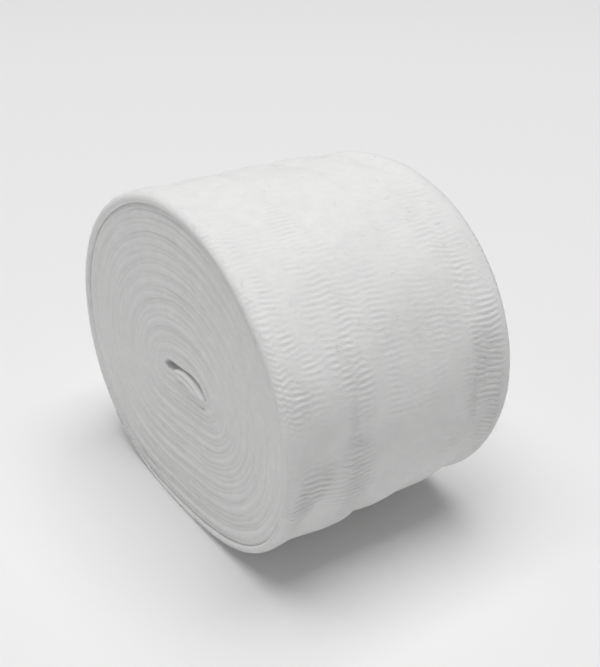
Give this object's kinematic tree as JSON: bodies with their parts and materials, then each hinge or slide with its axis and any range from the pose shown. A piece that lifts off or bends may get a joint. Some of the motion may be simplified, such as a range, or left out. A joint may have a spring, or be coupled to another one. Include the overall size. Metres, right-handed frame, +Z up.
{
  "type": "gauze bandage roll",
  "caption": "Soft roll of white crinkled gauze bandage lying on its side: an oval wound roll with a folded start in its middle, spiral turns on both ends and a flattened underside.",
  "frame": {"origin": "on the surface that the roll rests on, under the middle of the roll's box", "axes": "+X along the roll's axis, away from the end that shows its turns best; +Y across the roll; +Z up"},
  "size_m": [0.0772, 0.124, 0.0985],
  "materials": {
    "gauze": "soft matte crinkled white cotton gauze"
  },
  "bodies": {
    "root": {"gauze_roll": "gauze"}
  },
  "joints": []
}
